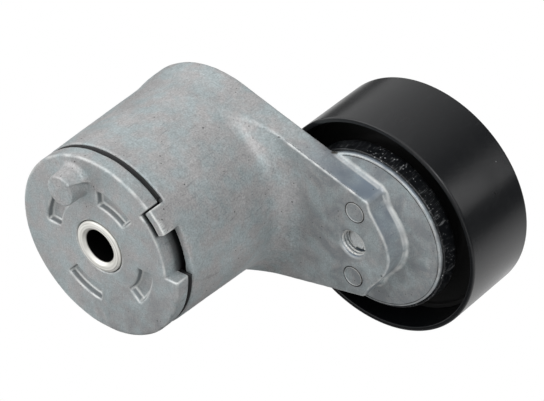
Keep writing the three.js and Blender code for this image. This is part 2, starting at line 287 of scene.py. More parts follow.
def castAluminium(name, look, marks=()):
    material, tree, shader, place = startMaterial(name)
    patch = noise(tree, place, perMetre(look["patch"]), 6.0)[0]
    cloud = noise(tree, place, perMetre(look["cloud"]), 6.0)[0]
    grit = noise(tree, place, perMetre(look["grit"]), 3.0)
    tide = noise(tree, place, perMetre(look["tide"]))[0]
    dragged = mapped(tree, place, turn=(0.4, 0.2, 0.7), scale=(perMetre(0.3), perMetre(6), perMetre(2)))
    scratch = noise(tree, dragged, 1.0, 3.0, 0.8)[0]
    tone = spread(tree, cloud, 0.3, 0.7, (0.91, 1.08))
    for share in (spread(tree, tide, 0.35, 0.65, (0.91, 1.07)), spread(tree, grit[0], 0.3, 0.7, (0.79, 1.18)),
                  spread(tree, scratch, 0.60, 0.70, (1.0, 0.80))):
        tone = times(tree, tone, share)
    skin = blend(tree, spread(tree, patch, 0.4, 0.6), colour(look["cool"]), colour(look["warm"]))
    hue = toned(tree, skin, tone)
    groups = noise(tree, place, perMetre(look["poreGroups"]), 3.0)[0]
    pore = under(tree, cells(tree, place, look["poreSpacing"]), spread(tree, groups, 0.46, 0.7, (0.0, 0.18)))
    streak = noise(tree, place, perMetre(look["streak"]), 6.0, 0.5)[0]
    darkening = times(tree, spread(tree, streak, 0.40, 0.64, (0.05, 0.75)), attribute(tree, "darkened"))
    # This mask paints a dark reflection on walls and also makes them smoother.
    drawn = attribute(tree, "drawn")
    layers = [(darkening, look["darkening"]), (drawn, look["drawn"]), (times(tree, pore, 0.7), look["pore"]),
              (attribute(tree, "paintedHollowShade"), look["paintedHollowShade"]), (attribute(tree, "edgeWearAndHighlight"), look["rubbedAndHighlight"]),
              (attribute(tree, "paintedGapShade"), look["paintedGapShade"])]
    if marks:
        shake = vectorNode(tree, "SUBTRACT", {0: grit["Color"], 1: (0.5, 0.5, 0.5)})[0]
        moved = vectorNode(tree, "MULTIPLY_ADD", {0: shake, 1: (markWander * mm,) * 3, 2: place})[0]
        layers += [(lineMask(tree, moved, *mark[:3]), mark[3]) for mark in marks]
    for mask, over in layers:
        hue = blend(tree, mask, hue, colour(over))
    rough = spread(tree, cloud, 0.3, 0.7, (look["roughness"] - 0.06, look["roughness"] + 0.08))
    smoother = addNode(tree, "ShaderNodeMath", {0: drawn, 1: -0.12, 2: rough}, operation="MULTIPLY_ADD")
    normal = bumped(tree, cloud, 0.4, 0.12, over=bumped(tree, grit[0], 0.5, 0.06))
    coat(tree, shader, hue, smoother.outputs[0], normal)
    shader.inputs["Metallic"].default_value = look["metallic"]
    return material


# Turned steel: bright, with rings left by the cutting tool; inside the bolt bore it is painted near-black as
# shade.
def turnedSteel(name, hexText, centreX, ringSize, roughness, shadeWithin=0.0, metallic=1.0):
    material, tree, shader, place = startMaterial(name)
    moved = mapped(tree, place, shift=(-centreX * mm, 0, 0))
    flat = vectorNode(tree, "MULTIPLY", {0: moved, 1: (1, 0, 1)})[0]
    radius = vectorNode(tree, "LENGTH", {0: flat})["Value"]
    along = addNode(tree, "ShaderNodeSeparateXYZ", {0: place}).outputs["Y"]
    depth = addNode(tree, "ShaderNodeMath", {0: radius, 1: along}).outputs[0]
    rings = addNode(tree, "ShaderNodeTexNoise", {"W": depth, "Scale": perMetre(ringSize), "Detail": 3.0},
                    noise_dimensions="1D").outputs[0]
    bright = toned(tree, colour(hexText)[:3], spread(tree, rings, 0.3, 0.7, (0.82, 1.1)))
    # Painted shade: near-black inside the bore, from a little way in.
    inside = spread(tree, radius, shadeWithin * mm, (shadeWithin + 0.05) * mm, (1.0, 0.0))
    deep = spread(tree, along, 0.2 * mm, 0.6 * mm)
    hue = blend(tree, times(tree, inside, deep), bright, colour("#050505"))
    blotch = noise(tree, place, perMetre(3))[0]
    rough = spread(tree, blotch, 0.3, 0.7, (roughness - 0.05, roughness + 0.08))
    coat(tree, shader, hue, rough, bumped(tree, rings, 0.25, 0.02))
    shader.inputs["Metallic"].default_value = metallic
    return material


# Gloss black stoved enamel on pressed steel: deep black with dust specks and light rub marks.
def blackEnamel(name, centreX, roughness, scratchAmount, dustSpacing, dustSize, dustFrom):
    material, tree, shader, place = startMaterial(name)
    moved = mapped(tree, place, shift=(-centreX * mm, 0, 0))
    haze = noise(tree, moved, perMetre(20), 3.0)[0]
    rough = spread(tree, haze, 0.3, 0.7, (roughness - 0.04, roughness + 0.07))
    size = spread(tree, noise(tree, moved, perMetre(13))[0], dustFrom, dustFrom + 0.3, (0.0, dustSize))
    speck = under(tree, cells(tree, moved, dustSpacing), size)
    stretched = mapped(tree, moved, turn=(0.5, 0.9, 0.3), scale=(perMetre(0.5), perMetre(4), perMetre(1.0)))
    lines = noise(tree, stretched, 1.0, 4.0, 1.6)[0]
    rub = spread(tree, lines, 0.58, 0.68, (0.0, scratchAmount))
    most = addNode(tree, "ShaderNodeMath", {0: speck, 1: rub}, operation="MAXIMUM").outputs[0]
    hue = blend(tree, most, colour("#0b0d10"), colour("#a2a4a6"))
    coat(tree, shader, hue, rough, bumped(tree, lines, 0.15, 0.03))
    shader.inputs["IOR"].default_value = 1.5
    return material


# Moulded plastic and rubber: even colour with a faint spark-eroded grain.
def moulded(name, hexText, roughness):
    material, tree, shader, place = startMaterial(name)
    grit = noise(tree, place, perMetre(0.35))[0]
    cloud = noise(tree, place, perMetre(6))[0]
    hue = toned(tree, colour(hexText)[:3], spread(tree, cloud, 0.3, 0.7, (0.85, 1.15)))
    rough = spread(tree, grit, 0.0, 1.0, (roughness - 0.08, roughness + 0.08))
    coat(tree, shader, hue, rough, bumped(tree, grit, 0.3, 0.03))
    return material


castMetal = castAluminium("die-cast aluminium", castLook, castMarks)
# Bright aluminium for the thread and bolt end, and for the painted highlight rings of the ejector marks.
machinedAndHighlightMetal = castAluminium("machined cast aluminium and painted highlight", {**castLook, "cool": "#d2d6d7", "warm": "#d3d3d0"})
# Dark aluminium for the disc line and for the painted shade rings of the ejector marks.
darkLineMetal = castAluminium("dark-line cast aluminium", {**castLook, "cool": "#303336", "warm": "#3a3733"})
sleeveSteel = turnedSteel("turned sleeve steel", "#efeee8", 0, 0.5, 0.40, shadeWithin=5.5, metallic=0.55)
bearingSteel = turnedSteel("ground bearing steel", "#c4c6c8", pulleyX, 0.3, 0.18)
zincSteel = turnedSteel("zinc-plated steel", "#c9c7bd", pulleyX, 0.6, 0.34)
collarSteel = turnedSteel("turned collar steel", "#b4b4b2", 0, 0.7, 0.35)
springWire = turnedSteel("shot-peened spring wire", "#3a3c40", 0, 1.2, 0.5)
gloss = blackEnamel("stoved black enamel", pulleyX, roughness=0.21, scratchAmount=0.02, dustSpacing=7,
                    dustSize=0.05, dustFrom=0.5)
scuffed = blackEnamel("scuffed black enamel", pulleyX, roughness=0.30, scratchAmount=0.40, dustSpacing=0.9,
                      dustSize=0.22, dustFrom=0.36)
rubber = moulded("nitrile rubber", "#1b1c1d", 0.6)
primer = moulded("matt black primer", "#060606", 0.8)
blackNylon = moulded("black nylon", "#191919", 0.5)
paleNylon = moulded("natural nylon", "#cfc6a6", 0.45)
print("materials made")


# ---- making meshes

def addPiece(name, mesh, body, material, nodes):
    mesh.materials.clear()
    mesh.materials.append(material)
    piece = bpy.data.objects.new(name, mesh)
    bpy.context.scene.collection.objects.link(piece)
    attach(piece, body)
    if nodes:
        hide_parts(*nodes)


def softCorners(corners, steps=4, hold=0.12):
    # Each corner is (radius, y, rounding). Short holding points keep flat faces flat in shading.
    points = []
    count = len(corners)
    for i, (radius, y, rounding) in enumerate(corners):
        here = np.array((radius, y), float)
        before = np.array(corners[i - 1][:2], float) - here
        after = np.array(corners[(i + 1) % count][:2], float) - here
        cut = min(rounding, np.linalg.norm(before) * 0.45, np.linalg.norm(after) * 0.45)
        if cut < 1e-6:
            points.append(here)
            continue
        start = here + before / np.linalg.norm(before) * cut
        end = here + after / np.linalg.norm(after) * cut
        if np.linalg.norm(before) > 2.5 * cut + hold:
            points.append(start + before / np.linalg.norm(before) * hold)
        for t in np.linspace(0, 1, steps + 1):
            points.append((1 - t) ** 2 * start + 2 * t * (1 - t) * here + t * t * end)
        if np.linalg.norm(after) > 2.5 * cut + hold:
            points.append(end + after / np.linalg.norm(after) * hold)
    return points


def turnedMesh(name, corners, centreX, segments, fromAngle=0.0, span=360.0, centreZ=0.0):
    # A closed section turned about the Y axis through centreX, centreZ. Angles go from X towards Z.
    section = softCorners(corners)
    mesh = bmesh.new()
    whole = span > 359.9
    rows = segments if whole else segments + 1
    rings = []
    for i in range(rows):
        angle = math.radians(fromAngle + span * i / segments)
        rings.append([mesh.verts.new(((centreX + r * math.cos(angle)) * mm, y * mm,
                                      (centreZ + r * math.sin(angle)) * mm)) for r, y in section])
    count = len(section)
    for i in range(segments):
        near, far = rings[i], rings[(i + 1) % rows]
        for j in range(count):
            k = (j + 1) % count
            if section[j][0] > 1e-6 or section[k][0] > 1e-6:
                mesh.faces.new((near[j], near[k], far[k], far[j]))
    if not whole:
        mesh.faces.new(rings[0])
        mesh.faces.new(rings[-1])
    bmesh.ops.remove_doubles(mesh, verts=mesh.verts, dist=1e-7)
    bmesh.ops.recalc_face_normals(mesh, faces=mesh.faces)
    data = bpy.data.meshes.new(name)
    mesh.to_mesh(data)
    mesh.free()
    data.shade_smooth()
    return data


# Distance shapes: negative inside, in millimetres. They give castings their even fillets.
def length(*parts):
    return np.sqrt(sum(p * p for p in parts))


def both(a, b, rounding):
    u, v = np.maximum(rounding + a, 0), np.maximum(rounding + b, 0)
    return np.minimum(np.maximum(a, b), -rounding) + length(u, v)


def either(a, b, fillet):
    u, v = np.maximum(fillet - a, 0), np.maximum(fillet - b, 0)
    return np.maximum(np.minimum(a, b), fillet) - length(u, v)


def without(a, b, rounding):
    return both(a, -b, rounding)


def between(value, low, high):
    return np.abs(value - (low + high) / 2) - (high - low) / 2


def smoothStep(value, low, high):
    share = np.clip((value - low) / (high - low), 0, 1)
    return share * share * (3 - 2 * share)


def arcSpan(x, z, fromDegrees, toDegrees):
    # Distance along the arc outside a span of angles.
    middle, half = math.radians((fromDegrees + toDegrees) / 2), math.radians((toDegrees - fromDegrees) / 2)
    c, s = math.cos(middle), math.sin(middle)
    return (np.abs(np.arctan2(z * c - x * s, x * c + z * s)) - half) * length(x, z)


def ripple(points, size, seed):
    # A smooth wandering value: eight sine waves of about the given size, in random directions.
    rng = np.random.default_rng(seed)
    total = np.zeros(len(points))
    waves = 8
    for _ in range(waves):
        wave = rng.normal(size=3)
        wave *= 2 * math.pi / size * rng.uniform(0.7, 1.4) / np.linalg.norm(wave)
        total += np.sin(points @ wave + rng.uniform(0, 2 * math.pi))
    return total / waves ** 0.5


def slopeAt(shape, points, step=0.05):
    slope = np.empty_like(points)
    for axis in range(3):
        ahead, behind = points.copy(), points.copy()
        ahead[:, axis] += step
        behind[:, axis] -= step
        slope[:, axis] = (shape(*ahead.T) - shape(*behind.T)) / (2 * step)
    return slope


def skinMesh(name, shape, low, high, pitch, keep):
    # A net of quads over the surface of a distance shape, drawn onto it, then thinned.
    x, y, z = (np.arange(a, b + pitch, pitch, dtype=np.float32) for a, b in zip(low, high))
    field = shape(x[:, None, None], y[None, :, None], z[None, None, :]).astype(np.float32)
    inside = field < 0
    nx, ny, nz = (n - 1 for n in field.shape)
    corner = sum(inside[i:i + nx, j:j + ny, k:k + nz].astype(np.int8)
                 for i in (0, 1) for j in (0, 1) for k in (0, 1))
    crossed = np.argwhere((corner > 0) & (corner < 8))
    number = np.full(corner.shape, -1, np.int32)
    number[tuple(crossed.T)] = np.arange(len(crossed))
    total, hits = np.zeros((len(crossed), 3)), np.zeros(len(crossed))
    faces = []
    for axis in range(3):
        step = np.eye(3, dtype=int)[axis]
        sideB, sideC = np.eye(3, dtype=int)[(axis + 1) % 3], np.eye(3, dtype=int)[(axis + 2) % 3]
        for shift in (0 * sideB, sideB, sideC, sideB + sideC):
            first = crossed + shift
            a, b = field[tuple(first.T)], field[tuple((first + step).T)]
            split = (a < 0) != (b < 0)
            share = a[split] / (a[split] - b[split])
            total[split] += first[split] + share[:, None] * step
            hits[split] += 1
        here = inside[tuple(slice(0, n - s) for n, s in zip(inside.shape, step))]
        there = inside[tuple(slice(s, n) for n, s in zip(inside.shape, step))]
        edges = np.argwhere(here != there)
        edges = edges[(edges[:, (axis + 1) % 3] > 0) & (edges[:, (axis + 2) % 3] > 0)]
        quad = np.stack([number[tuple((edges - shift).T)]
                         for shift in (0 * sideB, sideB, sideB + sideC, sideC)], 1)
        leaving = here[tuple(edges.T)]
        quad[~leaving] = quad[~leaving][:, ::-1]
        faces.append(quad)
    points = np.array(low) + pitch * total / hits[:, None]
    for _ in range(3):
        slope = slopeAt(shape, points)
        move = shape(*points.T)[:, None] * slope / np.maximum((slope ** 2).sum(1), 0.3)[:, None]
        points -= np.clip(move, -pitch / 2, pitch / 2)
    mesh = meshFrom(name, points, np.concatenate(faces))
    return thinned(mesh, keep)


def meshFrom(name, points, quads):
    mesh = bpy.data.meshes.new(name)
    mesh.vertices.add(len(points))
    mesh.vertices.foreach_set("co", (points * mm).astype(np.float32).ravel())
    mesh.loops.add(quads.size)
    mesh.loops.foreach_set("vertex_index", quads.astype(np.int32).ravel())
    mesh.polygons.add(len(quads))
    mesh.polygons.foreach_set("loop_start", np.arange(0, quads.size, 4, dtype=np.int32))
    mesh.update(calc_edges=True)
    mesh.validate()
    return mesh


def applied(carrier):
    graph = bpy.context.evaluated_depsgraph_get()
    mesh = bpy.data.meshes.new_from_object(carrier.evaluated_get(graph))
    bpy.data.objects.remove(carrier)
    return mesh


def thinned(mesh, keep):
    carrier = bpy.data.objects.new(mesh.name, mesh)
    bpy.context.scene.collection.objects.link(carrier)
    thin = carrier.modifiers.new("thin", "DECIMATE")
    thin.ratio = min(1.0, keep / (2 * len(mesh.polygons)))
    print("  ", mesh.name, "net has", len(mesh.polygons), "quads, kept share", round(thin.ratio, 2))
    return applied(carrier)


def nearPath(points, path):
    # Distance from each point to a chain of straight lines.
    nearest = np.full(len(points), 1e3)
    for a, b in zip(np.array(path[:-1], float), np.array(path[1:], float)):
        share = np.clip((points - a) @ (b - a) / ((b - a) @ (b - a)), 0, 1)
        nearest = np.minimum(nearest, np.linalg.norm(points - a - share[:, None] * (b - a), axis=1))
    return nearest


def finishCasting(mesh, shape, seed, marksAt, low, high, ragged=None):
    # Lets the skin wander a little, and marks rubbed edges with painted highlights, painted shade in hollows
    # and gaps, a painted dark reflection on walls, and darker streaks.
    count = len(mesh.vertices)
    points = np.empty(count * 3, np.float32)
    mesh.vertices.foreach_get("co", points)
    points = points.reshape(-1, 3).astype(float) / mm
    reach = 0.5
    near = -6 * shape(*points.T)
    for axis in range(3):
        for sign in (-reach, reach):
            moved = points.copy()
            moved[:, axis] += sign
            near = near + shape(*moved.T)
    bend = near / reach ** 2
    slope = slopeAt(shape, points)
    slope /= np.maximum(np.linalg.norm(slope, axis=1), 1e-6)[:, None]
    patchy = np.clip(0.6 + 0.5 * ripple(points, 4.0, seed), 0, 1)
    # Convex edges get wear with painted highlight; concave creases get painted shade.
    layers = {"edgeWearAndHighlight": np.clip((bend - 0.45) / 1.4, 0, 1) * patchy * 0.7,
              "paintedHollowShade": np.clip((-bend - 0.6) / 2.5, 0, 1) * 0.3, "drawn": np.zeros(count),
              "paintedGapShade": np.zeros(count), "darkened": np.full(count, 0.15)}
    marksAt(points, slope, bend, layers)
    for name, values in layers.items():
        layer = mesh.attributes.new(name, "FLOAT", "POINT")
        layer.data.foreach_set("value", np.clip(values, 0, 1).astype(np.float32))
    lift = 0.03 * ripple(points, 11, seed + 1) + 0.012 * ripple(points, 2.6, seed + 2)
    if ragged:
        nearSeam = np.exp(-(nearPath(points, ragged) / 0.9) ** 2)
        lift += 0.10 * nearSeam * (ripple(points, 1.4, seed + 3) + 0.5)
    points = np.clip(points + slope * lift[:, None], low, high)
    mesh.vertices.foreach_set("co", (points * mm).astype(np.float32).ravel())
    mesh.shade_smooth()
    mesh.update()


# ---- arm casting: drum, arm, lug, boss disc and stop tab

arm = {
    "front": 6.5, "back": 54.5, "frontRadius": 29.7, "backRadius": 31.0, "swell": 44, "flare": 0.65,
    "flareFrom": 43,
    "bore": 27.0, "endWall": 5.0, "hub": 13.0, "hubBore": 10.0, "hubFront": 20.5, "taper": 14.6,
    "face": 46.5, "fillet": 7.0, "edge": 0.6, "root": 1.5, "cornerX": 59.6, "shoulder": (61.2, 12.9),
    "nose": 12.8, "disc": 25.1, "discBack": 58.0, "boss": 12.0, "thread": 4.35, "mouth": 0.4,
    "tabFrom": 33.2, "tabTo": 48.9, "tabInner": 27.1, "tabOuter": 29.7, "tabFront": 0.4, "recess": 18.5,
    "margin": 1.5, "pitch": 0.42, "quickPitch": 0.8, "triangles": 195000, "seed": 11, "drawnFrom": 32,
    "flash": [(16, 42.0, 28.8), (19.1, 44.3, 27.8), (22.7, 45.4, 26.9), (28.5, 46.4, 25.4)],
}


def armOutline(x, z, drumWall):
    # Flat sides that leave the drum as tangents, a slanted shoulder and a round nose.
    s, c = math.sin(math.radians(arm["taper"])), math.cos(math.radians(arm["taper"]))
    side = np.abs(z)
    offset = drumWall + (drumRadius - drumWall) * smoothStep(x, drumRadius * s, 24)
    flats = np.maximum(x * s + side * c - offset, drumRadius * s - x)
    cornerZ = (drumRadius - arm["cornerX"] * s) / c
    run, fall = arm["shoulder"][0] - arm["cornerX"], arm["shoulder"][1] - cornerZ
    end = (-(x - arm["cornerX"]) * fall + (side - cornerZ) * run) / math.hypot(run, fall)
    nose = length(x - pulleyX, z) - arm["nose"]
    return either(both(flats, end, 0.8), nose, 3.0)


def armShape(x, y, z):
    radius = length(x, z)
    wall = arm["frontRadius"] + (arm["backRadius"] - arm["frontRadius"]) * (y - arm["front"]) / arm["swell"]
    flared = wall + arm["flare"] * smoothStep(y, arm["flareFrom"], arm["flareFrom"] + 8)
    drum = both(both(radius - flared, arm["front"] - y, 0.15), y - arm["back"], 0.8)
    outline = armOutline(x, z, flared)
    fillet = arm["fillet"]
    climb = length(np.minimum(radius - wall - fillet, 0), np.maximum(y - arm["face"] + fillet, 0))
    plate = both(both(fillet - climb, outline, arm["edge"]), y - arm["back"], 0.8)
    plate = np.maximum(plate, arm["face"] - fillet - 3 - y)
    body = np.minimum(drum, plate)
    fromPulley = length(x - pulleyX, z)
    disc = both(fromPulley - arm["disc"], between(y, arm["back"], arm["discBack"]), 0.45)
    body = either(body, disc, arm["root"])
    boss = both(fromPulley - arm["boss"], between(y, arm["back"], armHigh[1]), 0.4)
    body = either(body, boss, 0.8)
    tab = both(np.maximum(radius - arm["tabOuter"], arm["tabInner"] - radius),
               arcSpan(x, z, arm["tabFrom"], arm["tabTo"]), 0.25)
    tab = both(tab, between(y, arm["tabFront"], arm["front"] + 3), 0.3)
    body = either(body, tab, 0.1)
    hub = np.maximum(radius - arm["hub"], arm["hubFront"] - y)
    cavity = np.maximum(np.maximum(radius - arm["bore"], y - (arm["back"] - arm["endWall"])), -hub)
    cavity = np.minimum(cavity, radius - arm["hubBore"])
    cavity = np.minimum(cavity, np.maximum(radius - arm["recess"], arm["back"] - 1 - y))
    body = without(body, cavity, 0.3)
    hole = fromPulley - arm["thread"] - np.clip(arm["mouth"] - (y - arm["face"]), 0, arm["mouth"])
    return without(body, hole, 0.15)


def armMarks(points, slope, bend, layers):
    x, y, z = points.T
    radius, fromPulley = length(x, z), length(x - pulleyX, z)
    front, back = arm["front"], arm["back"]
    # Painted dark reflection on the arm's walls, strongest where they face up and towards the lug; the same
    # mask makes them smoother.
    wall = np.clip(1.3 * (1 - np.abs(slope[:, 1])) - 0.25, 0, 1)
    wall *= 0.3 + 0.7 * smoothStep(slope[:, 2], 0.3, 0.9)
    streaks = np.clip(0.85 + 0.2 * ripple(points, 7, 5), 0, 1)
    layers["drawn"] += wall * np.clip((x - arm["drawnFrom"]) / 22, 0, 1) * streaks
    drumLip = smoothStep(radius, 28.9, 29.3) * (1 - smoothStep(y, front + 0.6, front + 1.4))
    drumLip *= smoothStep(y, front - 1.2, front - 0.6)
    alongFlash = np.exp(-(nearPath(points, arm["flash"]) / 1.5) ** 2)
    layers["edgeWearAndHighlight"] *= (1 - drumLip) * (1 - 0.8 * alongFlash)
    # Darker streaked patches, stronger on the arm towards the lug.
    layers["darkened"] += 0.85 * smoothStep(x, 26, 48)
    # Painted shade on the tab's inner face, in the gap under the drum's front.
    tabInside = np.clip(-slope[:, 0] * x - slope[:, 2] * z, 0, 1) * (y < front) * smoothStep(y, 1, 2.5)
    layers["paintedGapShade"] += 0.8 * tabInside
    onTab = smoothStep(radius, 26.5, 27) * smoothStep(-y, 1 - front, 1.5 - front)
    discEdge = smoothStep(fromPulley, 24, 24.6) * (y > 53)
    threadMouth = (fromPulley < arm["thread"] + 0.8) * (y < arm["face"] + 1)
    layers["edgeWearAndHighlight"] *= (1 + 0.8 * onTab) * (1 - 0.5 * discEdge) * (1 - 0.7 * threadMouth)
    # Painted highlight along the concave root fillet between the arm's walls and the boss disc.
    lugRoot = np.clip((-bend - 0.2) / 0.5, 0, 1) * smoothStep(x, 33, 36) * (np.abs(y - back + 0.4) < 1.7)
    layers["paintedHollowShade"] *= 1 - lugRoot
    layers["edgeWearAndHighlight"] += 0.75 * lugRoot * np.clip(0.8 + 0.3 * ripple(points, 5, 9), 0, 1)


def makeArm():
    low = np.array((armLow[0], arm["tabFront"], armLow[2])) - arm["margin"]
    pitch = arm["pitch"]
    mesh = skinMesh("armCasting", armShape, low, armHigh + arm["margin"], pitch, arm["triangles"])
    finishCasting(mesh, armShape, arm["seed"], armMarks, armLow, armHigh, arm["flash"])
    addPiece("armCasting", mesh, "arm", castMetal, ["arm_casting"])


# ---- base plate: peg, four pockets and the stop notch

base = {
    "rim": 5.0, "edge": 0.8, "wall": 25.1, "wallInner": 22.6, "depth": 20.0, "hub": 12.5, "bore": 8.6,
    "notchFrom": 3.3, "notchTo": 50, "pocketInner": 14.6, "pocketOuter": 19.9, "pocketSpan": 40,
    "pocketDepth": 2.0, "pocketCentres": (70, 160, 250, 339), "draft": 0.25, "pegX": -8.0, "pegZ": 19.5,
    "peg": 4.6, "pegRoot": 0.5, "flare": 0.8, "flareRoot": 1.5, "flareTurn": 110, "flareFrom": 1.9,
    "flareSweep": 1.2, "margin": 1.2, "pitch": 0.34, "quickPitch": 0.7, "triangles": 180000, "seed": 31,
}


def baseShape(x, y, z):
    radius = length(x, z)
    plate = both(radius - baseRadius, between(y, 0, base["rim"]), base["edge"])
    wall = np.maximum(between(radius, base["wallInner"], base["wall"]), between(y, 2, base["depth"]))
    hub = np.maximum(radius - base["hub"], between(y, 2, base["depth"] - 1))
    body = either(np.minimum(plate, hub), wall, 0.2)
    offX, offZ = x - base["pegX"], z - base["pegZ"]
    fromPeg = length(offX, offZ)
    peg = both(fromPeg - base["peg"], between(y, baseLow[1], 2), 0.25)
    depth = np.clip((y - baseLow[1]) / -baseLow[1], 0, 1)
    turn = math.radians(base["flareTurn"])
    edge = base["flareFrom"] - base["flareSweep"] * smoothStep(depth, 0.1, 1.0)
    cut = edge - offX * math.cos(turn) - offZ * math.sin(turn)
    flare = both(fromPeg - base["peg"] - 0.15 - base["flare"] * depth, cut, 0.3)
    flare = both(flare, between(y, baseLow[1] + 0.25, 2), 0.3)
    body = either(either(body, flare, base["flareRoot"]), peg, base["pegRoot"])
    notch = np.maximum(arcSpan(x, z, base["notchFrom"], base["notchTo"]), base["wall"] - radius)
    body = without(body, np.maximum(notch, y - base["rim"] - 1), 0.4)
    for centre in base["pocketCentres"]:
        half = base["pocketSpan"] / 2
        ends = arcSpan(x, z, centre - half, centre + half)
        pocket = both(between(radius, base["pocketInner"], base["pocketOuter"]), ends, 0.7)
        pocket = both(pocket + base["draft"] * np.maximum(y, -1), y - base["pocketDepth"], 0.3)
        body = without(body, pocket, 0.35)
    return without(body, radius - base["bore"], 0.3)


def baseMarks(points, slope, bend, layers):
    x, y, z = points.T
    radius = length(x, z)
    wall = 1 - np.abs(slope[:, 1])
    inPocket = smoothStep(y, 0.25, 0.6) * (np.abs(radius - 17.2) < 3.6) * (y < 2.6)
    # Painted shade on the pocket walls.
    layers["paintedHollowShade"] += 0.8 * inPocket * smoothStep(wall, 0.3, 0.7)
    # Painted highlight on the concave fillets of the pockets.
    layers["edgeWearAndHighlight"] += 0.7 * np.clip((-bend - 0.3) / 0.8, 0, 1) * inPocket
    layers["edgeWearAndHighlight"] *= 1 - 0.8 * smoothStep(-y, 3, 5)
    # Darker streaked patches, stronger towards the base's lower right.
    layers["darkened"] += 0.5 * smoothStep(x - z, 0, 30)
    # Painted shade on the base wall inside the gap beside the drum, reaching further behind the tab.
    behindTab = smoothStep(np.degrees(np.arctan2(z, x)), 30, 33) * (x > 0)
    onWall = np.abs(radius - base["wall"]) < 0.5
    start = 2.2 - 1.8 * behindTab
    layers["paintedGapShade"] += smoothStep(y, start, start + 4.8 - 3.4 * behindTab) * onWall


def makeBase():
    low, high = baseLow - base["margin"], baseHigh + base["margin"]
    pitch = base["pitch"]
    mesh = skinMesh("basePlate", baseShape, low, high, pitch, base["triangles"])
    finishCasting(mesh, baseShape, base["seed"], baseMarks, baseLow, baseHigh)
    addPiece("basePlate", mesh, "base", castMetal, ["base_plate"])


makeBase()
makeArm()
print("castings made")


# ---- turned pieces. Each corner is radius, y and rounding.

gripInner, gripOuter = 20.3, 21.9
bearingHalf = 6
bearingFront, bearingBack = pulleyMiddle - bearingHalf, pulleyMiddle + bearingHalf
rimWall, webHalf = 1.6, 0.8
pitchRadius, ballRadius, grooveRadius = 14.25, 3.375, 3.65
# Each ejector mark is a ring of painted shade beside a ring of painted highlight.
ejector = {"shift": 0.5, "side": 11.65, "shadeRing": 3.30, "shadeRingHalf": 0.24, "edge": 3.00, "edgeHalf": 0.10,
           "proud": 0.15, "buried": 0.1}


def grooveCorners(face, side):
    # Corner points of a ball groove across a bearing ring's running face.
    half = math.acos(abs(face - pitchRadius) / grooveRadius)
    return [(pitchRadius + side * grooveRadius * math.cos(a), pulleyMiddle + grooveRadius * math.sin(a), 0)
            for a in np.linspace(-half, half, 13)]


